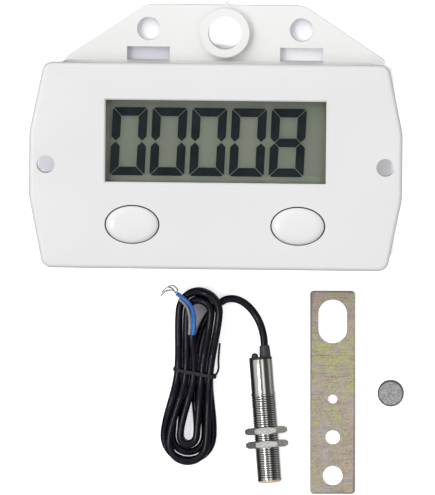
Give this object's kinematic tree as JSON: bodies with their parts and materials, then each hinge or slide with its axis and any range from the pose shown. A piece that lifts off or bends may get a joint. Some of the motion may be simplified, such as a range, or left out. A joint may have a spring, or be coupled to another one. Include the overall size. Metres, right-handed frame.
{
  "type": "digital tally counter",
  "caption": "White panel counter with display, oval push buttons and hanging ear, with its threaded magnetic sensor on a hank of cable, a slotted mounting strip and a disc magnet.",
  "frame": {"origin": "centre of the counter case's rear face, which lies on the ground plane", "axes": "+Z out of the display, +Y from the display towards the hanging ear, +X to the right as the display is read"},
  "size_m": [0.1215, 0.1602, 0.023],
  "materials": {
    "front_white": "smooth moulded, slightly glossy",
    "rear_white": "moulded, fine satin",
    "button_white": "smooth moulded, glossy",
    "display_glass": "thin clear glass with a grey green polariser",
    "segment_ink": "dark display digits",
    "display_back": "grey green reflector film",
    "holder_plastic": "moulded",
    "strip_rubber": "layered contact rubber",
    "board_green": "solder mask",
    "epoxy_black": "dull epoxy",
    "part_blue": "sleeved",
    "switch_black": "moulded",
    "cell_wrap": "plain sleeve",
    "contact_nickel": "nickel plated spring steel",
    "terminal_green": "moulded",
    "screw_steel": "zinc plated",
    "barrel_nickel": "bright nickel plated brass",
    "nut_nickel": "dull nickel plated",
    "cap_black": "moulded",
    "lamp_dark": "smoky clear",
    "sleeve_black": "soft, slightly glossy",
    "face_amber": "moulded",
    "capsule_glass": "clear green glass",
    "cable_black": "soft jacket with a sheen",
    "core_blue": "soft insulation",
    "core_grey": "soft insulation",
    "strand_tin": "tinned copper",
    "tie_black": "plastic covered wire",
    "strip_zinc": "yellow zinc plate with a faint rainbow",
    "magnet_nickel": "dull nickel plate"
  },
  "bodies": {
    "counter": {"front_shell": "front_white", "rear_shell": "rear_white", "lcd_front_glass": "display_glass", "lcd_segments": "segment_ink", "lcd_rear_glass": "display_glass", "lcd_reflector": "display_back", "lcd_holder": "holder_plastic", "zebra_strip": "strip_rubber", "circuit_board": "board_green", "chip_blob": "epoxy_black", "board_parts": "part_blue", "tact_switches": "switch_black", "battery": "cell_wrap", "battery_spring": "contact_nickel", "battery_contact": "contact_nickel", "terminal_block": "terminal_green", "terminal_screws": "screw_steel", "case_screws": "screw_steel", "board_screws": "screw_steel"},
    "pause": {"pause_button": "button_white", "pause_plunger": "switch_black"},
    "reset": {"reset_button": "button_white", "reset_plunger": "switch_black"},
    "door": {"battery_door": "rear_white"},
    "sensor": {"sensor_barrel": "barrel_nickel", "sensor_cap": "cap_black", "sensor_led": "lamp_dark", "strain_relief": "sleeve_black", "sensing_face": "face_amber", "sensor_board": "board_green", "reed_capsule": "capsule_glass", "cable_run": "cable_black", "cable_hank": "cable_black", "cable_tail": "cable_black", "wire_blue": "core_blue", "wire_grey": "core_grey", "wire_strands": "strand_tin", "cable_tie": "tie_black"},
    "rear_nut": {"nut_rear": "nut_nickel"},
    "front_nut": {"nut_front": "nut_nickel"},
    "strip": {"mounting_bracket": "strip_zinc"},
    "disc": {"magnet": "magnet_nickel"}
  },
  "joints": [
    {"name": "pause_press", "type": "slide", "parent": "counter", "child": "pause", "axis": [0, 0, -1], "range_m": [0, 0.0008], "stiffness_N_per_m": 200, "springref_m": -0.001},
    {"name": "reset_press", "type": "slide", "parent": "counter", "child": "reset", "axis": [0, 0, -1], "range_m": [0, 0.0008], "stiffness_N_per_m": 200, "springref_m": -0.001},
    {"name": "door_slide", "type": "slide", "parent": "counter", "child": "door", "axis": [1, 0, 0], "range_m": [0, 0.05]},
    {"name": "sensor_lift", "type": "slide", "parent": "counter", "child": "sensor", "axis": [0, 0, 1], "range_m": [0, 0.05]},
    {"name": "rear_nut_travel", "type": "slide", "parent": "sensor", "child": "rear_nut", "axis": [0.0867, -0.9914, 0.0979], "range_m": [-0.011, 0.001]},
    {"name": "front_nut_travel", "type": "slide", "parent": "sensor", "child": "front_nut", "axis": [0.0867, -0.9914, 0.0979], "range_m": [-0.001, 0.0105]},
    {"name": "strip_lift", "type": "slide", "parent": "counter", "child": "strip", "axis": [0, 0, 1], "range_m": [0, 0.05]},
    {"name": "magnet_lift", "type": "slide", "parent": "counter", "child": "disc", "axis": [0, 0, 1], "range_m": [0, 0.05]}
  ]
}
